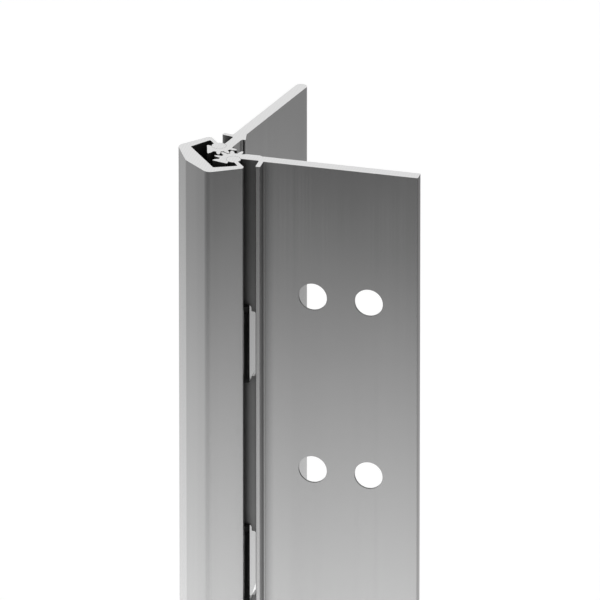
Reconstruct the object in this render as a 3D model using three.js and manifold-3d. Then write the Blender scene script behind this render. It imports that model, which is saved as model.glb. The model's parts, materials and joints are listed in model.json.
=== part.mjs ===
// A continuous geared hinge in aluminium.
//
// Two leaves are extruded with gear teeth along one edge. The teeth mesh along the whole length, and a
// C-shaped cover channel holds them together: its two lips end in round beads, and each leaf has a
// crescent that wraps a bead and turns on it. Thrust bearings sit in notches cut through both rows of
// teeth and carry the weight of the door from the door leaf to the frame leaf.
//
// Millimetres, +Z up along the pivots. The door leaf points along +X, with its mounting face to -Y.
// The origin is under the middle of the bounding box, at the lower cut end.

import * as THREE from 'three';
import { mergeVertices } from 'three/addons/utils/BufferGeometryUtils.js';
import Module from 'manifold-3d';

// Driving dimensions, in millimetres and degrees

const LENGTH = 431.8;
const LEAF_ANGLE = 77;
const GAP = 0.3;

// Leaf section: x runs along the leaf from its pivot, y towards the other leaf. Each leaf has a root
// between its teeth and its rib, and a plate with the screw holes beyond the rib.
const PLATE_THICKNESS = 3.175;
const ROOT_OUTER = 0.8;
const ROOT_END = 6.2;
const ROOT_TAPER = 0.8;
const DOOR_LEAF = {
  width: 50.5,
  edgeRadius: 0.35,
  plateOuter: 0.5,
  rootInner: 4.1,
  ribTip: -3.1,
  columns: [21.65, 37.05],
};
const FRAME_LEAF = {
  width: 45.9,
  edgeRadius: 1.5,
  plateOuter: 0,
  rootInner: 3.6,
  ribTip: -2.6,
  columns: [18.5, 33.9],
};
const RIB_START = 6.8;
const RIB_END = 8.1;
const RIB_CHAMFER = 0.25;
const RIDGE_PEAK = 6.6;
const RIDGE_INNER = 4.6;
const RIDGE_END = 9.8;

// Gear teeth on both leaves, one every 30 degrees
const PITCH_RADIUS = 4.8;
const TIP_RADIUS = 5.55;
const ROOT_RADIUS = 3.75;
const TOOTH_STEP = 30;
const TIP_HALF_ANGLE = 2.6;
const PITCH_HALF_ANGLE = 5.7;
const ROOT_HALF_ANGLE = 8.8;
const DOOR_TOOTH = 79;
const DOOR_TEETH = 5;
const FRAME_TOOTH = DOOR_TOOTH + TOOTH_STEP / 2;
const FRAME_TEETH = 4;

// Crescent of a leaf and bead of the channel that it turns on
const BEAD_RADIUS = 1.75;
const SEAT_RADIUS = BEAD_RADIUS + GAP;
const CRESCENT_END_X = -0.95;
const CRESCENT_END_Y = -3.1;

// Cover channel section: x runs from its ridge to its mouth, y across it
const PIVOT_X = 11.8;
const CORNER_X = 1.9;
const CORNER_Y = 9.7;
const CORNER_ROUND = 0.7;
const MOUTH_X = 11.6;
const MOUTH_Y = 11.2;
const LIP_CORNER_Y = 10.4;
const LIP_OUTER = PIVOT_X + 0.5;
const LIP_INNER = PIVOT_X - 0.65;
const FLOOR_X = 4.75;
const FLOOR_Y = 7.4;
const FLOOR_ROUND = 0.4;
const WALL_Y = 9.1;

// Thrust bearings and the stepped notches that they sit in: a tall one through the teeth, and a
// shorter one beyond it in the root
const BEARING_COUNT = 6;
const BEARING_PITCH = 64.8;
const NOTCH_HEIGHT = 22.6;
const NOTCH_DEPTH = 4.7;
const NOTCH_CORNER = 1.2;
const SLOT_HEIGHT = 19;
const SLOT_DEPTH = 5.9;
const SLOT_CORNER = 1;
const BEARING_END_GAP = 0.3;
const NOSE_HEIGHT = 19.3;
const BEARING_WALL_GAP = 0.45;
const NECK_RADIUS = 3.7;
const NOSE_RADIUS = 4.25;
const BEARING_FRONT_ANGLE = 20;

// Screw holes, in two columns, countersunk from the inner side for 82 degree heads
const ROW_COUNT = 8;
const ROW_PITCH = 50.8;
const HOLE_RADIUS = 3.9;
const HOLE_LAND = 0.65;
const HEAD_ANGLE = 82;
const HOLE_SIDES = 20;

// Steps in a large arc and in a small corner, and how near two points are when they count as one
const ARC_STEPS = 14;
const CORNER_STEPS = 4;
const SAME_POINT = 1e-4;
const wasm = await Module();
wasm.setup();

// Plane geometry

function polar(radius, degrees, centre = { x: 0, y: 0 }) {
  const angle = THREE.MathUtils.degToRad(degrees);
  return new THREE.Vector2(centre.x + radius * Math.cos(angle), centre.y + radius * Math.sin(angle));
}

function arc(radius, from, to, steps, centre) {
  const points = [];
  for (let i = 0; i <= steps; i++) {
    points.push(polar(radius, THREE.MathUtils.lerp(from, to, i / steps), centre));
  }
  return points;
}

function degreesOf(x, y) {
  return THREE.MathUtils.radToDeg(Math.atan2(y, x));
}

// Half of the circle's chord at a distance from its centre
function halfChord(radius, distance) {
  return Math.sqrt(radius * radius - distance * distance);
}

// A corner cut back to two points, one on each of its sides
function cutCorner(before, corner, after, length) {
  return [before, after].map((end) => {
    const side = end.clone().sub(corner).setLength(length);
    return corner.clone().add(side);
  });
}

function mirrored(points) {
  return points.map((point) => new THREE.Vector2(point.x, -point.y));
}

function extruded(points, height) {
  return new THREE.ExtrudeGeometry(new THREE.Shape(points), { depth: height, bevelEnabled: false });
}

// Booleans

function solidOf(geometry) {
  const bare = geometry.index ? geometry.toNonIndexed() : geometry.clone();
  bare.deleteAttribute('normal');
  bare.deleteAttribute('uv');
  const merged = mergeVertices(bare, SAME_POINT);
  return new wasm.Manifold(new wasm.Mesh({
    numProp: 3,
    vertProperties: new Float32Array(merged.attributes.position.array),
    triVerts: new Uint32Array(merged.index.array),
  }));
}

function geometryOf(solid) {
  const mesh = solid.getMesh();
  const geometry = new THREE.BufferGeometry();
  geometry.setAttribute('position', new THREE.BufferAttribute(mesh.vertProperties, 3));
  geometry.setIndex(new THREE.BufferAttribute(mesh.triVerts, 1));
  return geometry;
}

// Places along the hinge, the same from both ends

function heights(count, pitch) {
  const first = (LENGTH - pitch * (count - 1)) / 2;
  return Array.from({ length: count }, (_, i) => first + pitch * i);
}

// Leaves

// Teeth from the one furthest round the crescent to the one nearest the plate. The last tooth has no
// flank on its far side, because the crescent's back starts at its tip.
function toothPoints(firstTooth, count) {
  const points = [];
  for (let i = count - 1; i >= 0; i--) {
    const middle = firstTooth + TOOTH_STEP * i;
    if (i < count - 1) {
      points.push(polar(ROOT_RADIUS, middle + ROOT_HALF_ANGLE));
      points.push(polar(PITCH_RADIUS, middle + PITCH_HALF_ANGLE));
    }
    points.push(polar(TIP_RADIUS, middle + TIP_HALF_ANGLE));
    points.push(polar(TIP_RADIUS, middle - TIP_HALF_ANGLE));
    points.push(polar(PITCH_RADIUS, middle - PITCH_HALF_ANGLE));
    points.push(polar(ROOT_RADIUS, middle - ROOT_HALF_ANGLE));
  }
  return points;
}

// The crescent's seat, open on the side where the channel's lip comes in
function seatPoints() {
  const start = degreesOf(halfChord(SEAT_RADIUS, ROOT_OUTER), ROOT_OUTER);
  const end = 360 + degreesOf(CRESCENT_END_X, -halfChord(SEAT_RADIUS, CRESCENT_END_X));
  return arc(SEAT_RADIUS, start, end, ARC_STEPS);
}

// The flank of the thick root, which stands where the next tooth would be
function rootFlank(firstTooth, rootInner) {
  const middle = firstTooth - TOOTH_STEP;
  const rise = polar(PITCH_RADIUS, middle + PITCH_HALF_ANGLE);
  return [
    polar(ROOT_RADIUS, middle + ROOT_HALF_ANGLE),
    new THREE.Vector2(rise.x, rootInner),
    new THREE.Vector2(ROOT_END, rootInner),
  ];
}

// The plate's free edge, round at both corners
function edgePoints(leaf) {
  const radius = leaf.edgeRadius;
  const x = leaf.width - radius;
  const inner = leaf.plateOuter + PLATE_THICKNESS - radius;
  const outer = leaf.plateOuter + radius;
  return [
    ...arc(radius, 90, 0, CORNER_STEPS, { x, y: inner }),
    ...arc(radius, 0, -90, CORNER_STEPS, { x, y: outer }),
  ];
}

function ribPoints(leaf) {
  return [
    new THREE.Vector2(RIB_END, leaf.plateOuter),
    new THREE.Vector2(RIB_END, leaf.ribTip + RIB_CHAMFER),
    new THREE.Vector2(RIB_END - RIB_CHAMFER, leaf.ribTip),
    new THREE.Vector2(RIB_START + RIB_CHAMFER, leaf.ribTip),
    new THREE.Vector2(RIB_START, leaf.ribTip + RIB_CHAMFER),
    new THREE.Vector2(RIB_START, ROOT_OUTER),
  ];
}

// step is the way down from the root's inner face to the plate's
function leafSection(leaf, firstTooth, toothCount, step) {
  return [
    ...seatPoints(),
    new THREE.Vector2(CRESCENT_END_X, CRESCENT_END_Y),
    ...toothPoints(firstTooth, toothCount),
    ...rootFlank(firstTooth, leaf.rootInner),
    ...step,
    ...edgePoints(leaf),
    ...ribPoints(leaf),
  ];
}

// A round cutter along +Y, from the mounting face to beyond the inner face
function holeCutter(leaf) {
  const reach = 2;
  const flare = Math.tan(THREE.MathUtils.degToRad(HEAD_ANGLE / 2));
  const end = PLATE_THICKNESS + reach;
  const profile = [
    new THREE.Vector2(0, -reach),
    new THREE.Vector2(HOLE_RADIUS, -reach),
    new THREE.Vector2(HOLE_RADIUS, HOLE_LAND),
    new THREE.Vector2(HOLE_RADIUS + (end - HOLE_LAND) * flare, end),
    new THREE.Vector2(0, end),
  ];
  const cutter = new THREE.LatheGeometry(profile, HOLE_SIDES);
  cutter.translate(0, leaf.plateOuter, 0);
  return cutter;
}

// The right half of a slot's outline, from its lower side to its upper one, with round corners
function slotEnd(height, depth, corner) {
  const half = height / 2;
  const inset = { x: depth - corner, y: half - corner };
  return [
    ...arc(corner, -90, 0, CORNER_STEPS, { x: inset.x, y: -inset.y }),
    ...arc(corner, 0, 90, CORNER_STEPS, inset),
  ];
}

function notchPoints() {
  const notch = slotEnd(NOTCH_HEIGHT, NOTCH_DEPTH, NOTCH_CORNER);
  const slot = slotEnd(SLOT_HEIGHT, SLOT_DEPTH, SLOT_CORNER);
  const middle = notch.length / 2;
  const step = (y) => new THREE.Vector2(NOTCH_DEPTH, y);
  return [
    ...notch.slice(0, middle),
    step(-SLOT_HEIGHT / 2),
    ...slot,
    step(SLOT_HEIGHT / 2),
    ...notch.slice(middle),
  ];
}

// A stepped slot through the root and the teeth
function notchCutter() {
  const reach = 8;
  const half = NOTCH_HEIGHT / 2;
  const points = [new THREE.Vector2(-reach, half), new THREE.Vector2(-reach, -half), ...notchPoints()];
  const cutter = extruded(points, 2 * reach);
  cutter.translate(0, 0, -reach);
  cutter.rotateX(Math.PI / 2);
  return cutter;
}

// side is 1 when the other leaf is towards +Y, and -1 when it is towards -Y
function leafGeometry(leaf, section, side) {
  let solid = solidOf(extruded(side > 0 ? section : mirrored(section), LENGTH));
  const turn = side > 0 ? 0 : Math.PI;
  for (const height of heights(BEARING_COUNT, BEARING_PITCH)) {
    solid = solid.subtract(solidOf(notchCutter().translate(0, 0, height)));
  }
  for (const height of heights(ROW_COUNT, ROW_PITCH)) {
    for (const column of leaf.columns) {
      const cutter = holeCutter(leaf).rotateX(turn).translate(column, 0, height);
      solid = solid.subtract(solidOf(cutter));
    }
  }
  return geometryOf(solid);
}

function doorLeafGeometry() {
  const plateInner = DOOR_LEAF.plateOuter + PLATE_THICKNESS;
  const step = [new THREE.Vector2(ROOT_END + ROOT_TAPER, plateInner)];
  return leafGeometry(DOOR_LEAF, leafSection(DOOR_LEAF, DOOR_TOOTH, DOOR_TEETH, step), 1);
}

// The frame leaf has a small ridge beside its root
function frameLeafGeometry() {
  const plateInner = FRAME_LEAF.plateOuter + PLATE_THICKNESS;
  const step = [
    new THREE.Vector2(RIDGE_PEAK, RIDGE_INNER),
    new THREE.Vector2(RIDGE_END, plateInner),
  ];
  return leafGeometry(FRAME_LEAF, leafSection(FRAME_LEAF, FRAME_TOOTH, FRAME_TEETH, step), -1);
}

// Cover channel

// One half of the section, from the ridge round the wall, lip and bead to the floor
function channelHalf() {
  const pivot = { x: PIVOT_X, y: PITCH_RADIUS };
  const ridge = new THREE.Vector2(0, 0);
  const corner = new THREE.Vector2(CORNER_X, CORNER_Y);
  const mouth = new THREE.Vector2(MOUTH_X, MOUTH_Y);
  const wall = new THREE.Vector2(LIP_INNER, WALL_Y);
  const floor = new THREE.Vector2(FLOOR_X, FLOOR_Y);
  const middle = new THREE.Vector2(FLOOR_X, 0);
  const outer = LIP_OUTER - PIVOT_X;
  const inner = LIP_INNER - PIVOT_X;
  const beadStart = degreesOf(outer, halfChord(BEAD_RADIUS, outer));
  const beadEnd = degreesOf(inner, halfChord(BEAD_RADIUS, inner)) - 360;
  return [
    ridge,
    ...cutCorner(ridge, corner, mouth, CORNER_ROUND),
    mouth,
    new THREE.Vector2(LIP_OUTER, LIP_CORNER_Y),
    ...arc(BEAD_RADIUS, beadStart, beadEnd, ARC_STEPS, pivot),
    wall,
    ...cutCorner(wall, floor, middle, FLOOR_ROUND),
  ];
}

function wholeSection(half) {
  const other = mirrored(half).reverse();
  return [...half, ...other].filter((point, i, all) => point.distanceTo(all.at(i - 1)) > SAME_POINT);
}

function channelGeometry() {
  return extruded(wholeSection(channelHalf()), LENGTH);
}

// Thrust bearing

// One half of the block that fills the channel and the notches, as far as the waist between the beads
function blockHalf() {
  const pivot = { x: PIVOT_X, y: PITCH_RADIUS };
  const inner = LIP_INNER - GAP - PIVOT_X;
  const recessStart = degreesOf(inner, halfChord(SEAT_RADIUS, inner));
  const back = FLOOR_X + GAP;
  return [
    new THREE.Vector2(back, FLOOR_Y - FLOOR_ROUND - GAP),
    new THREE.Vector2(back + FLOOR_ROUND, FLOOR_Y - GAP),
    new THREE.Vector2(LIP_INNER - GAP, WALL_Y - BEARING_WALL_GAP),
    ...arc(SEAT_RADIUS, recessStart, 270, ARC_STEPS, pivot),
  ];
}

// One half of a part that stands out between the leaves from the same waist
function frontHalf(radius) {
  const pivot = { x: PIVOT_X, y: PITCH_RADIUS };
  const outer = LIP_OUTER + GAP - PIVOT_X;
  const recessEnd = 360 + degreesOf(outer, halfChord(SEAT_RADIUS, outer));
  const frontStart = degreesOf(outer, halfChord(radius, outer));
  return [
    new THREE.Vector2(LIP_INNER, PITCH_RADIUS - SEAT_RADIUS),
    ...arc(SEAT_RADIUS, 270, recessEnd, ARC_STEPS, pivot),
    ...arc(radius, frontStart, BEARING_FRONT_ANGLE, CORNER_STEPS, pivot),
  ];
}

// A block and a neck as tall as the notch, and a shorter nose that stands out a little further
function bearingGeometry() {
  const height = NOTCH_HEIGHT - 2 * BEARING_END_GAP;
  const block = solidOf(extruded(wholeSection(blockHalf()), height));
  const neck = solidOf(extruded(wholeSection(frontHalf(NECK_RADIUS)), height));
  const nose = solidOf(extruded(wholeSection(frontHalf(NOSE_RADIUS)), NOSE_HEIGHT));
  return geometryOf(block.add(neck).add(nose.translate([0, 0, (height - NOSE_HEIGHT) / 2])));
}

// Materials

const FINISHES = {
  leaf: { color: 0xb9bbbc, roughness: 0.42, metalness: 0.9 },
  channel: { color: 0xc2c4c5, roughness: 0.38, metalness: 0.9 },
  bearing: { color: 0x141414, roughness: 0.55, metalness: 0 },
};

function named(name, geometry, finish) {
  const mesh = new THREE.Mesh(geometry, new THREE.MeshStandardMaterial(FINISHES[finish]));
  mesh.name = name;
  return mesh;
}

// Assembly: the door leaf's pivot is the hinge group's own origin until the group is centred

const axisAngle = LEAF_ANGLE / 2;
const doorPivot = new THREE.Vector2(PIVOT_X, -PITCH_RADIUS);
const framePivot = new THREE.Vector2(PIVOT_X, PITCH_RADIUS);

const doorLeaf = named('door_leaf', doorLeafGeometry(), 'leaf');

const frameLeaf = named('frame_leaf', frameLeafGeometry(), 'leaf');
frameLeaf.position.set(framePivot.x, framePivot.y, 0);
frameLeaf.rotation.z = THREE.MathUtils.degToRad(axisAngle);

const knuckle = new THREE.Group();
knuckle.add(frameLeaf);
knuckle.add(named('cover_channel', channelGeometry(), 'channel'));
heights(BEARING_COUNT, BEARING_PITCH).forEach((height, i) => {
  const bearing = named(`thrust_bearing_${i + 1}`, bearingGeometry(), 'bearing');
  bearing.position.z = height - NOTCH_HEIGHT / 2 + BEARING_END_GAP;
  knuckle.add(bearing);
});
knuckle.rotation.z = THREE.MathUtils.degToRad(axisAngle);
const start = doorPivot.clone().rotateAround(new THREE.Vector2(), knuckle.rotation.z);
knuckle.position.set(-start.x, -start.y, 0);

const hinge = new THREE.Group();
hinge.add(doorLeaf, knuckle);
const bounds = new THREE.Box3().setFromObject(hinge, true);
const centre = bounds.getCenter(new THREE.Vector3());
hinge.position.set(-centre.x, -centre.y, -bounds.min.z);

export default hinge;
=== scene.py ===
"""Looks for a continuous geared hinge: fine extrusions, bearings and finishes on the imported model."""

import json
import math

import bmesh
import bpy
from mathutils import Matrix, Vector


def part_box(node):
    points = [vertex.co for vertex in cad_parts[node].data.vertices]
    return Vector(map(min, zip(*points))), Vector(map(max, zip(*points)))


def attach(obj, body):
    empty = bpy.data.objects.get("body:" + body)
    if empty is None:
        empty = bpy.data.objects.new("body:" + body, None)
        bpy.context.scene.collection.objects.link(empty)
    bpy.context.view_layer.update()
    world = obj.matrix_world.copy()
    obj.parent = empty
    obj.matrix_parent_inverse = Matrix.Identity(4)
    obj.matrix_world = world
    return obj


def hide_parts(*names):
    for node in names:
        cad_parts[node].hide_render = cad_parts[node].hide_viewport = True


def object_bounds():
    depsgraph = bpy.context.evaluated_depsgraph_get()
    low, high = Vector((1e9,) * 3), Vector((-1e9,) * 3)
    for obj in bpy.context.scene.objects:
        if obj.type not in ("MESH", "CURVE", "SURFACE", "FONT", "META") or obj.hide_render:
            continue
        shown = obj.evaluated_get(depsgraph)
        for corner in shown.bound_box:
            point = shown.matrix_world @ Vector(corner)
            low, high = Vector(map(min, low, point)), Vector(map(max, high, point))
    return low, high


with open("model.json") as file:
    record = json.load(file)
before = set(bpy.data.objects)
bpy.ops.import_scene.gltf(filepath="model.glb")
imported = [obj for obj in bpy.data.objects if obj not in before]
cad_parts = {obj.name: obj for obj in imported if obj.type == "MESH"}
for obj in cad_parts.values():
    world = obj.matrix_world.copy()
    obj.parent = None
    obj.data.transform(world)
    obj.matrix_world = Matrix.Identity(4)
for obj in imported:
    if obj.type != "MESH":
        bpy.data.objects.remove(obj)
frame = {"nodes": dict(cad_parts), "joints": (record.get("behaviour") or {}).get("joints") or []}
cad_low, cad_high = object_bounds()

MM = 0.001

# Camera: a long lens above the front, with the door leaf turned a little away
VIEW_AZIMUTH = 14.55
VIEW_ELEVATION = 24.8
LENS = 1400.0
SENSOR = 36.0
VIEW_WIDTH = 159.66
# From the door leaf's pivot at the upper end to the middle of the picture
AIM_OFFSET = (21.169, -11.079, -33.84)

# Leaf section in millimetres: x runs along the leaf from its pivot, y towards the other leaf
PLATE_THICKNESS = 3.175
ROOT_OUTER = 0.8
ROOT_END = 6.2
ROOT_TAPER = 0.8
DOOR_LEAF = {
    "width": 50.5, "edge": 0.35, "plate": 0.5, "root": 4.1, "rib": -3.1, "columns": (21.65, 37.05),
    "tooth": 79, "teeth": 5,
}
FRAME_LEAF = {
    "width": 45.85, "edge": 1.5, "plate": 0.0, "root": 3.6, "rib": -2.6, "columns": (18.5, 33.9),
    "tooth": 94, "teeth": 4,
}
RIB_START, RIB_END = 6.8, 8.1
RIDGE_PEAK = (6.6, 4.6, 0.2)
RIDGE_END = 9.8
CRESCENT_END = (-0.95, -3.1, 0.25)

# Radii that most section corners share
CORNER, FILLET = 0.3, 0.35

# Gear teeth
TOOTH_STEP = 30
TOOTH_TIP, PITCH_RADIUS, TOOTH_ROOT = 5.58, 4.8, 3.82
TOOTH_ROOT_ANGLE = 8.7
TOOTH_FLARE, TOOTH_CURVE = 2.1, 4.7
FLANK_STEPS = 5
ROOT_FLANK_ANGLE = 6

# Channel section: x runs from its ridge to its mouth, y across it
PIVOT_X = 11.8
BEAD_RADIUS = 1.94
SEAT_RADIUS = 2.0
LIP_OUTER = PIVOT_X + 0.5
LIP_INNER = PIVOT_X - 0.65
FLOOR_X, FLOOR_Y, FLOOR_ROUND = 4.75, 7.4, 0.4
WALL_Y = 9.1
CHANNEL_RIDGE = (0, 0, 1.5)
CHANNEL_CORNER = (1.9, 9.7, 2.1)
CHANNEL_MOUTH = (11.6, 11.2, CORNER)
LIP_CORNER_Y = 10.4

# Notches, bearings and screw holes
NOTCH = {"height": 22.6, "depth": 4.7, "corner": 1.2}
SLOT = {"height": 19.0, "depth": 5.9, "corner": 1.0}
STEP_ROUND = 0.2
NOTCH_REACH, HOLE_REACH = 8, 2
BLOCK_HEIGHT = 22.3
NOSE_HEIGHT = 19.3
NOSE_RADIUS = 4.25
NOSE_SIDE_ANGLE, NECK_SIDE_ANGLE, FRONT_ANGLE = 80, 40, 20
BEARING_GAP, BEARING_WALL_GAP = 0.15, 0.35
BEARING_EDGE = 0.12
HOLE_RADIUS = 3.9
HOLE_LAND = 0.65
HEAD_ANGLE = 82
# How far the painted shade in corners and recesses reaches, in millimetres
PAINTED_SHADE_REACH = 3.2
ROW_COUNT, ROW_PITCH = 8, 50.8

# Faces are tagged with the material slot that they take on an extruded piece; the last three slots paint
# shade: dark hole walls, a near-black interior and a darker satin
SATIN, SAWN, MILLED, HOLE_SHADE, DARK_INTERIOR, SATIN_SHADE = range(6)
NEAR = 0.05
# Where the root's two faces start beside the crescent and the teeth
ROOT_START_X, ROOT_INSIDE_Y = 1.6, 3.3


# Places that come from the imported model

joints = {joint["name"]: Vector(joint["pos_m"]) / MM for joint in frame["joints"]}
door_pivot = joints["door_pivot"].xy
frame_pivot = joints["frame_pivot"].xy
pivot_gap = (frame_pivot - door_pivot).length
across = (frame_pivot - door_pivot).normalized()
along = Vector((across.y, -across.x))
ridge = (door_pivot + frame_pivot) / 2 - along * PIVOT_X
door_along = Vector((1, 0))
frame_along = 2 * along.x * along - door_along
bottom, top = cad_low.z / MM, cad_high.z / MM


def placed(origin, x_axis, y_axis):
    """A matrix from a section's plane and height, in millimetres, to metres in the row frame."""
    rows = [
        (x_axis.x, y_axis.x, 0, origin.x),
        (x_axis.y, y_axis.y, 0, origin.y),
        (0, 0, 1, 0),
        (0, 0, 0, 1),
    ]
    return Matrix.Scale(MM, 4) @ Matrix(rows)


door_place = placed(door_pivot, door_along, Vector((0, 1)))
frame_place = placed(frame_pivot, frame_along, Vector((frame_along.y, -frame_along.x)))
channel_place = placed(ridge, along, across)


# Plane geometry

def polar(radius, degrees, centre=(0, 0)):
    angle = math.radians(degrees)
    return (centre[0] + radius * math.cos(angle), centre[1] + radius * math.sin(angle))


def arc(radius, start, end, steps, centre=(0, 0)):
    return [polar(radius, start + (end - start) * i / steps, centre) for i in range(steps + 1)]


def degrees_of(x, y):
    return math.degrees(math.atan2(y, x))


def half_chord(radius, distance):
    return math.sqrt(radius * radius - distance * distance)


def rounded(before, corner, after, radius, steps=5):
    """The points of an arc that rounds a corner."""
    p, a, b = Vector(corner), Vector(before), Vector(after)
    u, v = (a - p).normalized(), (b - p).normalized()
    half = u.angle(v) / 2
    reach = min(radius / math.tan(half), 0.49 * (a - p).length, 0.49 * (b - p).length)
    radius = reach * math.tan(half)
    centre = p + (u + v).normalized() * (radius / math.sin(half))
    start, end = p + u * reach - centre, p + v * reach - centre
    turn = end.angle_signed(start)
    points = []
    for i in range(steps + 1):
        side = start.copy()
        side.rotate(Matrix.Rotation(turn * i / steps, 2))
        points.append(tuple(centre + side))
    return points


def outline(corners):
    """Rounds each corner that has a third number, its radius."""
    points = []
    for i, corner in enumerate(corners):
        if len(corner) == 2:
            points.append(tuple(corner))
        else:
            before, after = corners[i - 1][:2], corners[(i + 1) % len(corners)][:2]
            points += rounded(before, corner[:2], after, corner[2])
    return points


def heights(count, pitch):
    first = (bottom + top) / 2 - pitch * (count - 1) / 2
    return [first + pitch * i for i in range(count)]


# Sections

def tooth_flank(middle, side):
    """Points of a tooth's flank from its tip to its root, bowed out as an involute is."""
    points = []
    for i in range(FLANK_STEPS + 1):
        s = 1 - i / FLANK_STEPS
        half = TOOTH_ROOT_ANGLE - TOOTH_FLARE * s - TOOTH_CURVE * s * s
        points.append(polar(TOOTH_ROOT + (TOOTH_TIP - TOOTH_ROOT) * s, middle + side * half))
    return points


def teeth(leaf):
    """Teeth from the one furthest round the crescent to the one nearest the plate."""
    points = []
    for i in reversed(range(leaf["teeth"])):
        middle = leaf["tooth"] + TOOTH_STEP * i
        if i < leaf["teeth"] - 1:
            points += reversed(tooth_flank(middle, 1))
        else:
            points.append(tooth_flank(middle, 1)[0])
        points += tooth_flank(middle, -1)
    return points


def leaf_section(leaf, step):
    plate_inner = leaf["plate"] + PLATE_THICKNESS
    seat_start = degrees_of(half_chord(SEAT_RADIUS, ROOT_OUTER), ROOT_OUTER)
    seat_end = 360 + degrees_of(CRESCENT_END[0], -half_chord(SEAT_RADIUS, CRESCENT_END[0]))
    flank_x = polar(PITCH_RADIUS, leaf["tooth"] - TOOTH_STEP + ROOT_FLANK_ANGLE)[0]
    corners = arc(SEAT_RADIUS, seat_start, seat_end, 28)
    corners += [CRESCENT_END]
    corners += teeth(leaf)
    corners += [
        (flank_x, leaf["root"], CORNER),
        *step,
        (leaf["width"], plate_inner, leaf["edge"]),
        (leaf["width"], leaf["plate"], leaf["edge"]),
        (RIB_END, leaf["plate"], FILLET),
        (RIB_END, leaf["rib"], CORNER),
        (RIB_START, leaf["rib"], CORNER),
        (RIB_START, ROOT_OUTER, FILLET),
    ]
    return outline(corners)


def door_section():
    plate_inner = DOOR_LEAF["plate"] + PLATE_THICKNESS
    step = [(ROOT_END, DOOR_LEAF["root"], 0.5), (ROOT_END + ROOT_TAPER, plate_inner, 0.5)]
    return leaf_section(DOOR_LEAF, step)


def frame_section():
    plate_inner = FRAME_LEAF["plate"] + PLATE_THICKNESS
    step = [(ROOT_END, FRAME_LEAF["root"], 0.5), RIDGE_PEAK, (RIDGE_END, plate_inner, 1.0)]
    return leaf_section(FRAME_LEAF, step)


def channel_half():
    pivot = (PIVOT_X, pivot_gap / 2)
    outer, inner = LIP_OUTER - PIVOT_X, LIP_INNER - PIVOT_X
    start = degrees_of(outer, half_chord(BEAD_RADIUS, outer))
    end = degrees_of(inner, half_chord(BEAD_RADIUS, inner)) - 360
    bead = arc(BEAD_RADIUS, start, end, 32, pivot)
    return [
        CHANNEL_CORNER,
        CHANNEL_MOUTH,
        (LIP_OUTER, LIP_CORNER_Y, CORNER),
        *bead,
        (LIP_INNER, WALL_Y, FILLET),
        (FLOOR_X, FLOOR_Y, FLOOR_ROUND),
    ]


def both_halves(half, first=()):
    """The outline of a half section and its mirror image, from the corners on the mirror line."""
    return outline([*first, *half, *[(x, -y, *r) for x, y, *r in reversed(half)]])


def channel_section():
    return both_halves(channel_half(), first=[CHANNEL_RIDGE])


def block_section():
    """The part of a bearing that fills the channel and the notches, up to the waist between the beads."""
    pivot = (PIVOT_X, pivot_gap / 2)
    inner = LIP_INNER - BEARING_GAP - PIVOT_X
    recess = BEAD_RADIUS + BEARING_GAP
    start = degrees_of(inner, half_chord(recess, inner))
    return both_halves([
        (FLOOR_X + BEARING_GAP, FLOOR_Y - BEARING_GAP, FLOOR_ROUND),
        (LIP_INNER - BEARING_GAP, WALL_Y - BEARING_WALL_GAP, CORNER),
        *arc(recess, start, 270, 24, pivot),
    ])


def front_section(side_angle):
    """A part that stands out between the leaves from the same waist, round from the side angle on."""
    pivot = (PIVOT_X, pivot_gap / 2)
    outer = LIP_OUTER + BEARING_GAP - PIVOT_X
    recess = BEAD_RADIUS + BEARING_GAP
    end = 360 + degrees_of(outer, half_chord(recess, outer))
    return both_halves([
        (LIP_INNER, pivot[1] - recess),
        *arc(recess, 270, end, 16, pivot),
        *arc(NOSE_RADIUS, side_angle, FRONT_ANGLE, 16, pivot),
    ])


# Meshes

def add_prism(mesh, points, low, high, tag_of, end_tag=SAWN):
    """An upright prism in a bmesh. tag_of gives a side face's material slot from its middle."""
    rings = [[mesh.verts.new((x, y, z)) for x, y in points] for z in (low, high)]
    for ring in rings:
        mesh.faces.new(ring).material_index = end_tag
    for i, (x, y) in enumerate(points):
        nx, ny = points[(i + 1) % len(points)]
        j = (i + 1) % len(points)
        face = mesh.faces.new((rings[0][i], rings[0][j], rings[1][j], rings[1][i]))
        face.material_index = tag_of((x + nx) / 2, (y + ny) / 2)


def finished(name, mesh, place, materials):
    bmesh.ops.transform(mesh, matrix=place, verts=mesh.verts)
    bmesh.ops.recalc_face_normals(mesh, faces=mesh.faces)
    data = bpy.data.meshes.new(name)
    mesh.to_mesh(data)
    mesh.free()
    for material in materials:
        data.materials.append(material)
    piece = bpy.data.objects.new(name, data)
    bpy.context.scene.collection.objects.link(piece)
    return piece


def apply_modifiers(piece):
    graph = bpy.context.evaluated_depsgraph_get()
    result = bpy.data.meshes.new_from_object(piece.evaluated_get(graph))
    piece.modifiers.clear()
    piece.data = result


def smooth(piece, degrees=32):
    piece.data.shade_smooth()
    piece.data.set_sharp_from_angle(angle=math.radians(degrees))


def combine(piece, other, operation):
    modifier = piece.modifiers.new("combine", "BOOLEAN")
    modifier.operation = operation
    modifier.solver = "EXACT"
    modifier.object = other
    apply_modifiers(piece)
    bpy.data.objects.remove(other)


def round_edges(piece, width, segments=2):
    """Takes the sharpness off the edges, as a mould does."""
    modifier = piece.modifiers.new("round_edges", "BEVEL")
    modifier.width = width * MM
    modifier.segments = segments
    modifier.limit_method = "ANGLE"
    modifier.angle_limit = math.radians(50)
    modifier.use_clamp_overlap = False
    apply_modifiers(piece)


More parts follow.
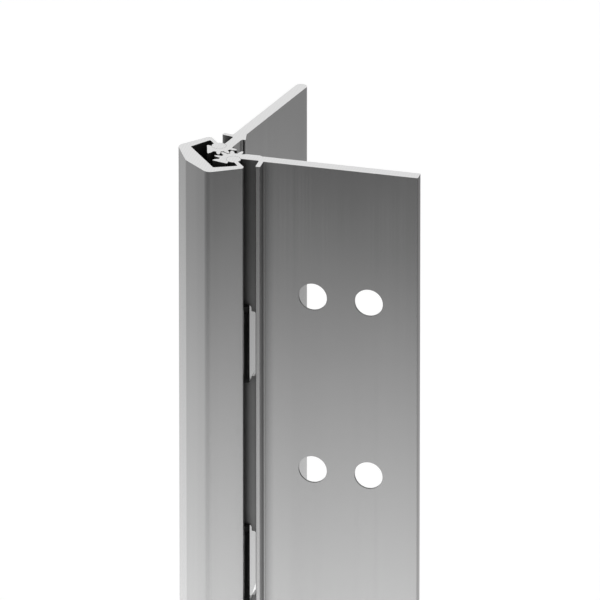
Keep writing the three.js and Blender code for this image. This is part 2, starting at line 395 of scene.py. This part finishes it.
def notch_outline(height):
    corners = [
        (-NOTCH_REACH, NOTCH["height"] / 2),
        (-NOTCH_REACH, -NOTCH["height"] / 2),
        (NOTCH["depth"], -NOTCH["height"] / 2, NOTCH["corner"]),
        (NOTCH["depth"], -SLOT["height"] / 2, STEP_ROUND),
        (SLOT["depth"], -SLOT["height"] / 2, SLOT["corner"]),
        (SLOT["depth"], SLOT["height"] / 2, SLOT["corner"]),
        (NOTCH["depth"], SLOT["height"] / 2, STEP_ROUND),
        (NOTCH["depth"], NOTCH["height"] / 2, NOTCH["corner"]),
    ]
    return [(x, y + height) for x, y in outline(corners)]


def add_notch(mesh, height):
    """A stepped slot through the root and the teeth."""
    points = notch_outline(height)
    rings = [[mesh.verts.new((x, y, z)) for x, z in points] for y in (-NOTCH_REACH, NOTCH_REACH)]
    faces = [mesh.faces.new(ring) for ring in rings]
    for i in range(len(points)):
        j = (i + 1) % len(points)
        faces.append(mesh.faces.new((rings[0][i], rings[0][j], rings[1][j], rings[1][i])))
    for face in faces:
        face.material_index = MILLED


def add_hole(mesh, leaf, column, height, sides=64):
    """A countersunk hole from the mounting face to beyond the inner face."""
    end = PLATE_THICKNESS + HOLE_REACH
    flare = math.tan(math.radians(HEAD_ANGLE / 2))
    profile = [
        (HOLE_RADIUS, -HOLE_REACH),
        (HOLE_RADIUS, HOLE_LAND),
        (HOLE_RADIUS + (end - HOLE_LAND) * flare, end),
    ]
    rings = []
    for radius, y in profile:
        circle = [polar(radius, 360 * i / sides) for i in range(sides)]
        rings.append([mesh.verts.new((column + x, leaf["plate"] + y, height + z)) for x, z in circle])
    faces = [mesh.faces.new(rings[0]), mesh.faces.new(rings[-1])]
    for low, high in zip(rings, rings[1:]):
        for i in range(sides):
            j = (i + 1) % sides
            faces.append(mesh.faces.new((low[i], low[j], high[j], high[i])))
    # Painted shade: the hole's walls take the slot with a dark base
    for face in faces:
        face.material_index = HOLE_SHADE


def leaf_tag(leaf, x, y):
    """The teeth and the crescent take the near-black painted shade of the interior, and the root's
    outside, the rib's sides and the free edge a darker satin that paints their shade.
    """
    # Painted shade: the root's outside, the rib's sides and the free edge take a darker copy of the satin
    on_outside = ROOT_START_X < x < RIB_END + NEAR and y < ROOT_OUTER + NEAR
    on_rib_end = y < FRAME_LEAF["rib"] + NEAR and RIB_START + 4 * NEAR < x < RIB_END - 4 * NEAR
    if (on_outside and not on_rib_end) or x > leaf["width"] - NEAR:
        return SATIN_SHADE
    on_root = x > ROOT_START_X and y > ROOT_INSIDE_Y
    return DARK_INTERIOR if math.hypot(x, y) < TOOTH_TIP + 2 * NEAR and not on_root else SATIN


def channel_tag(x, y):
    # Painted shade: the channel's inside and its beads take the near-black shade of the unlit interior
    inside = FLOOR_X - NEAR < x < LIP_INNER + 2 * NEAR and abs(y) < WALL_Y + NEAR
    on_bead = math.hypot(x - PIVOT_X, abs(y) - pivot_gap / 2) < BEAD_RADIUS + NEAR
    return DARK_INTERIOR if inside or on_bead else SATIN


def make_leaf(name, leaf, points, place, materials):
    body = bmesh.new()
    add_prism(body, points, bottom, top, lambda x, y: leaf_tag(leaf, x, y))
    piece = finished(name, body, place, materials)
    holes = bmesh.new()
    for height in heights(len(bearing_nodes), bearing_pitch):
        add_notch(holes, height)
    for height in heights(ROW_COUNT, ROW_PITCH):
        for column in leaf["columns"]:
            add_hole(holes, leaf, column, height)
    combine(piece, finished("cutter", holes, place, materials), "DIFFERENCE")
    smooth(piece)
    return piece


def make_channel(materials):
    body = bmesh.new()
    add_prism(body, channel_section(), bottom, top, channel_tag)
    piece = finished("cover_channel_extrusion", body, channel_place, materials)
    smooth(piece)
    return piece


def make_bearing(name, height, material):
    """A moulded block and neck as tall as the notch, with a shorter nose on its front."""
    parts = []
    for points, size in (
        (block_section(), BLOCK_HEIGHT),
        (front_section(NECK_SIDE_ANGLE), BLOCK_HEIGHT),
        (front_section(NOSE_SIDE_ANGLE), NOSE_HEIGHT),
    ):
        body = bmesh.new()
        add_prism(body, points, height - size / 2, height + size / 2, lambda x, y: 0, end_tag=0)
        parts.append(finished(name, body, channel_place, [material]))
    piece = parts[0]
    for part in parts[1:]:
        combine(piece, part, "UNION")
    round_edges(piece, BEARING_EDGE)
    smooth(piece)
    return piece


# Materials

class Nodes:
    """A material's node tree, with short ways to add to it."""

    def __init__(self, name):
        self.material = bpy.data.materials.new(name)
        self.material.use_nodes = True
        self.tree = self.material.node_tree
        self.shader = self.tree.nodes["Principled BSDF"]
        self.place = self.add("ShaderNodeTexCoord").outputs["Object"]

    def add(self, kind):
        return self.tree.nodes.new(kind)

    def link(self, source, target):
        self.tree.links.new(source, target)

    def stretched(self, scale):
        node = self.add("ShaderNodeVectorMath")
        node.operation = "MULTIPLY"
        node.inputs[1].default_value = scale
        self.link(self.place, node.inputs[0])
        return node.outputs["Vector"]

    def noise(self, scale, detail=2.0, roughness=0.5):
        node = self.add("ShaderNodeTexNoise")
        node.inputs["Scale"].default_value = 1
        node.inputs["Detail"].default_value = detail
        node.inputs["Roughness"].default_value = roughness
        self.link(self.stretched(scale), node.inputs["Vector"])
        return node.outputs["Fac"]

    def ranged(self, value, low, high, start=0.3, end=0.7):
        node = self.add("ShaderNodeMapRange")
        node.inputs["From Min"].default_value = start
        node.inputs["From Max"].default_value = end
        node.inputs["To Min"].default_value = low
        node.inputs["To Max"].default_value = high
        self.link(value, node.inputs["Value"])
        return node.outputs["Result"]

    def math(self, operation, first, second):
        node = self.add("ShaderNodeMath")
        node.operation = operation
        self.link(first, node.inputs[0])
        self.link(second, node.inputs[1])
        return node.outputs["Value"]

    def sum(self, *values):
        total = values[0]
        for value in values[1:]:
            total = self.math("ADD", total, value)
        return total

    def openness(self, reach):
        """How open a place is: 1 on a flat face, and less in a corner or a recess."""
        node = self.add("ShaderNodeAmbientOcclusion")
        node.samples = 8
        node.inputs["Distance"].default_value = reach * MM
        return node.outputs["AO"]

    def grey(self, value):
        node = self.add("ShaderNodeCombineColor")
        for i in range(3):
            self.link(value, node.inputs[i])
        self.link(node.outputs["Color"], self.shader.inputs["Base Color"])

    def rough(self, value):
        self.link(value, self.shader.inputs["Roughness"])

    def bump(self, height, strength, distance):
        node = self.add("ShaderNodeBump")
        node.inputs["Strength"].default_value = strength
        node.inputs["Distance"].default_value = distance * MM
        self.link(height, node.inputs["Height"])
        self.link(node.outputs["Normal"], self.shader.inputs["Normal"])


def satin_metal(name, base, roughness):
    """Clear-anodised extrusion: fine lines left by the die, an etched grain, and painted shade that
    darkens the colour in corners and recesses.
    """
    nodes = Nodes(name)
    nodes.shader.inputs["Metallic"].default_value = 1
    lines = nodes.noise((2600, 2600, 5), detail=3)
    bands = nodes.noise((420, 420, 2), detail=2)
    grain = nodes.noise((5200, 5200, 5200), detail=2, roughness=0.7)
    handling = nodes.noise((38, 38, 26), detail=3)
    shade = nodes.sum(
        nodes.ranged(lines, -0.008, 0.008),
        nodes.ranged(bands, base - 0.008, base + 0.008),
        nodes.ranged(handling, -0.006, 0.006),
    )
    # Painted shade: the base colour is multiplied by ambient occlusion, so it is darker in corners and
    # recesses
    nodes.grey(nodes.math("MULTIPLY", shade, nodes.openness(PAINTED_SHADE_REACH)))
    nodes.rough(nodes.sum(
        nodes.ranged(lines, -0.012, 0.012),
        nodes.ranged(bands, roughness - 0.004, roughness + 0.004),
        nodes.ranged(handling, -0.008, 0.012),
    ))
    relief = nodes.sum(nodes.ranged(lines, 0, 1), nodes.ranged(grain, 0, 0.6))
    nodes.bump(relief, 0.06, 0.01)
    return nodes.material


def sawn_metal(name, base, roughness):
    """A cut end: shallow curved marks from the saw, and a brighter grain than the anodised faces."""
    nodes = Nodes(name)
    nodes.shader.inputs["Metallic"].default_value = 1
    marks = nodes.add("ShaderNodeTexWave")
    marks.wave_type = "BANDS"
    marks.inputs["Scale"].default_value = 1
    marks.inputs["Distortion"].default_value = 3
    marks.inputs["Detail"].default_value = 2
    nodes.link(nodes.stretched((420, 620, 0)), marks.inputs["Vector"])
    grain = nodes.noise((3200, 3200, 3200), detail=3, roughness=0.7)
    nodes.grey(nodes.sum(
        nodes.ranged(marks.outputs["Fac"], base - 0.02, base + 0.02, 0, 1),
        nodes.ranged(grain, -0.03, 0.03),
    ))
    nodes.rough(nodes.ranged(grain, roughness - 0.04, roughness + 0.04))
    nodes.bump(nodes.sum(marks.outputs["Fac"], grain), 0.15, 0.01)
    return nodes.material


def milled_metal(name, base, roughness):
    """Holes and notches: fine cutter chatter and a patchy stain; a low base, as the holes take, paints
    the shade on their walls.
    """
    nodes = Nodes(name)
    nodes.shader.inputs["Metallic"].default_value = 1
    chatter = nodes.noise((900, 900, 4200), detail=2)
    stain = nodes.noise((700, 700, 700), detail=3)
    nodes.grey(nodes.sum(
        nodes.ranged(chatter, base - 0.03, base + 0.03),
        nodes.ranged(stain, -0.02, 0.02),
    ))
    nodes.rough(nodes.ranged(stain, roughness - 0.05, roughness + 0.05))
    nodes.bump(chatter, 0.3, 0.02)
    return nodes.material


def painted_interior_metal(name, base, roughness):
    """Gear flanks, seats and the channel's inside: a near-black painted shade for the unlit interior,
    varied in patches.
    """
    nodes = Nodes(name)
    nodes.shader.inputs["Metallic"].default_value = 0.3
    film = nodes.noise((500, 500, 90), detail=4)
    nodes.grey(nodes.ranged(film, base * 0.6, base * 1.6))
    nodes.rough(nodes.ranged(film, roughness - 0.08, roughness + 0.1))
    nodes.bump(film, 0.2, 0.02)
    return nodes.material


def moulded_plastic(name, base, roughness):
    """Black acetal with a fine spark-eroded mould texture."""
    nodes = Nodes(name)
    nodes.shader.inputs["Specular IOR Level"].default_value = 0.35
    texture = nodes.noise((6000, 6000, 6000), detail=2, roughness=0.6)
    flow = nodes.noise((160, 160, 420), detail=3)
    nodes.grey(nodes.sum(
        nodes.ranged(texture, base * 0.8, base * 1.2),
        nodes.ranged(flow, 0, base * 0.4),
    ))
    nodes.rough(nodes.sum(
        nodes.ranged(texture, -0.03, 0.03),
        nodes.ranged(flow, roughness - 0.06, roughness + 0.06),
    ))
    nodes.bump(texture, 0.25, 0.02)
    return nodes.material


# Camera, floor and light

def toward_camera(azimuth, elevation):
    a, e = math.radians(azimuth), math.radians(elevation)
    return Vector((math.sin(a) * math.cos(e), -math.cos(a) * math.cos(e), math.sin(e)))


def add_camera():
    data = bpy.data.cameras.new("camera")
    data.lens = LENS
    data.sensor_width = SENSOR
    distance = VIEW_WIDTH * MM * LENS / SENSOR
    back = toward_camera(VIEW_AZIMUTH, VIEW_ELEVATION)
    aim = (Vector((door_pivot.x, door_pivot.y, top)) + Vector(AIM_OFFSET)) * MM
    camera = bpy.data.objects.new("camera", data)
    camera.rotation_mode = "QUATERNION"
    camera.location = aim + back * distance
    camera.rotation_quaternion = (-back).to_track_quat("-Z", "Y")
    data.clip_start, data.clip_end = distance * 0.1, distance * 10
    bpy.context.scene.collection.objects.link(camera)
    bpy.context.scene.camera = camera


def add_floor():
    half = 40.0
    below = 0.5 * MM
    mesh = bpy.data.meshes.new("floor")
    corners = [(-half, -half), (half, -half), (half, half), (-half, half)]
    mesh.from_pydata([(x, y, cad_low.z - below) for x, y in corners], [], [(0, 1, 2, 3)])
    floor = bpy.data.objects.new("floor", mesh)
    bpy.context.scene.collection.objects.link(floor)
    material = bpy.data.materials.new("floor")
    material.use_nodes = True
    shader = material.node_tree.nodes["Principled BSDF"]
    shader.inputs["Base Color"].default_value = (0.95, 0.95, 0.95, 1)
    shader.inputs["Roughness"].default_value = 0.9
    shader.inputs["Emission Color"].default_value = (1, 1, 1, 1)
    shader.inputs["Emission Strength"].default_value = 0.14
    mesh.materials.append(material)
    floor.visible_glossy = False


# The world's strength above and below the horizon, how the lower part leans, and its dim and lit sides
WORLD_TOP = 1.15
WORLD_LOW = 0.2715
WORLD_TILT = (-0.191, 0.169, 0)
DIM_SIDE = (-0.87, -0.5, 0)
DIM_AMOUNT = -0.2
LIT_SIDE = (0.7, -0.7, 0)
LIT_AMOUNT = 0.06


class Operations:
    """Short ways to add nodes to a world's or a light's tree."""

    def __init__(self, tree):
        self.tree = tree

    def math(self, operation, first, second):
        node = self.tree.nodes.new("ShaderNodeMath")
        node.operation = operation
        for value, socket in zip((first, second), node.inputs):
            if isinstance(value, (int, float)):
                socket.default_value = value
            else:
                self.tree.links.new(value, socket)
        return node.outputs["Value"]

    def dot(self, vector, constant):
        node = self.tree.nodes.new("ShaderNodeVectorMath")
        node.operation = "DOT_PRODUCT"
        node.inputs[1].default_value = constant
        self.tree.links.new(vector, node.inputs[0])
        return node.outputs["Value"]


def add_world():
    """Bright above, and dim below the horizon, where it leans to the back left."""
    world = bpy.data.worlds.new("studio")
    bpy.context.scene.world = world
    world.use_nodes = True
    tree = world.node_tree
    tree.nodes.clear()
    steps = Operations(tree)
    direction = tree.nodes.new("ShaderNodeTexCoord").outputs["Generated"]
    tilted = steps.math("ADD", steps.dot(direction, WORLD_TILT), WORLD_LOW)
    low = tilted
    for side, amount in ((DIM_SIDE, DIM_AMOUNT), (LIT_SIDE, LIT_AMOUNT)):
        facing = steps.math("POWER", steps.math("MAXIMUM", steps.dot(direction, side), 0), 2)
        low = steps.math("ADD", low, steps.math("MULTIPLY", facing, amount))
    low = steps.math("MAXIMUM", low, 0)
    rise = tree.nodes.new("ShaderNodeMapRange")
    rise.interpolation_type = "SMOOTHSTEP"
    rise.inputs["From Min"].default_value = -0.1
    rise.inputs["From Max"].default_value = 0.25
    tree.links.new(steps.dot(direction, (0, 0, 1)), rise.inputs["Value"])
    mix = tree.nodes.new("ShaderNodeMix")
    mix.data_type = "FLOAT"
    mix.inputs["B"].default_value = WORLD_TOP
    tree.links.new(rise.outputs["Result"], mix.inputs["Factor"])
    tree.links.new(low, mix.inputs["A"])
    background = tree.nodes.new("ShaderNodeBackground")
    tree.links.new(mix.outputs["Result"], background.inputs["Strength"])
    out = tree.nodes.new("ShaderNodeOutputWorld")
    tree.links.new(background.outputs[0], out.inputs["Surface"])


# The low ring of light cards: its size, its strength, and how much stronger it is at the front
RING_COUNT = 12
RING_RADIUS = 0.36
RING_HEIGHT = 0.268
RING_RADIANCE = 1.065
RING_MEAN, RING_FRONT, RING_FRONT_AZIMUTH = 1.12, 0.22, 15


def grade_upwards(data):
    """Makes a card's light fall evenly from its lower edge to nothing at its upper edge."""
    data.use_nodes = True
    tree = data.node_tree
    steps = Operations(tree)
    place = tree.nodes.new("ShaderNodeNewGeometry").outputs["Parametric"]
    fall = steps.math("SUBTRACT", 1, steps.dot(place, (0, 1, 0)))
    tree.links.new(fall, tree.nodes["Emission"].inputs["Strength"])


def add_light_ring():
    """Low cards all round that grade the upright faces from dark above to light below."""
    for i in range(RING_COUNT):
        azimuth = 360 * i / RING_COUNT
        data = bpy.data.lights.new(f"low_card_{i + 1}", "AREA")
        data.shape = "RECTANGLE"
        data.size = 2 * math.pi * RING_RADIUS / RING_COUNT
        data.size_y = RING_HEIGHT
        share = RING_MEAN + RING_FRONT * math.cos(math.radians(azimuth - RING_FRONT_AZIMUTH))
        data.energy = share * RING_RADIANCE * math.pi * data.size * data.size_y
        grade_upwards(data)
        light = bpy.data.objects.new(data.name, data)
        place = toward_camera(azimuth, 0) * RING_RADIUS
        light.location = place + Vector((0, 0, RING_HEIGHT / 2))
        light.rotation_euler = (-place).to_track_quat("-Z", "Y").to_euler()
        light.visible_camera = False
        bpy.context.scene.collection.objects.link(light)


bearing_nodes = sorted(name for name in frame["nodes"] if name.startswith("thrust_bearing"))
bearing_middles = sorted(sum(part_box(name), Vector()).z / 2 / MM for name in bearing_nodes)
bearing_pitch = bearing_middles[1] - bearing_middles[0]

bpy.context.scene.view_settings.view_transform = "Standard"
add_camera()
add_floor()
add_world()
add_light_ring()

sawn = sawn_metal("sawn_aluminium", 0.8, 0.45)
milled = milled_metal("milled_aluminium", 0.7, 0.4)
# A low base that paints the shade on the hole walls
hole_wall_shade = milled_metal("hole_wall_painted_shade", 0.16, 0.45)
# Near-black painted shade for the unlit teeth, seats, crescent and channel inside
interior_black = painted_interior_metal("interior_painted_shade", 0.012, 0.5)
# A darker copy of the satin, painted shade for the root's outside, the rib's sides and the free edge
shaded_satin = satin_metal("satin_painted_shade", 0.4, 0.3)
leaf_finishes = [satin_metal("leaf_aluminium", 0.74, 0.22), sawn, milled, hole_wall_shade, interior_black, shaded_satin]
channel_finishes = [satin_metal("channel_aluminium", 0.76, 0.22), sawn, milled, hole_wall_shade, interior_black]
# Black acetal, its base set near zero so the bearings also paint the black shade of the unlit channel
acetal_and_shade = moulded_plastic("bearing_acetal", 0.004, 0.5)

for name, leaf, section, place in (
    ("door_leaf", DOOR_LEAF, door_section(), door_place),
    ("frame_leaf", FRAME_LEAF, frame_section(), frame_place),
):
    piece = make_leaf(f"{name}_extrusion", leaf, section, place, leaf_finishes)
    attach(piece, name)
    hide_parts(name)

channel = make_channel(channel_finishes)
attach(channel, "channel")
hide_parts("cover_channel")

for i, (node, middle) in enumerate(zip(bearing_nodes, bearing_middles)):
    piece = make_bearing(f"bearing_block_{i + 1}", middle, acetal_and_shade)
    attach(piece, "channel")
    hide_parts(node)
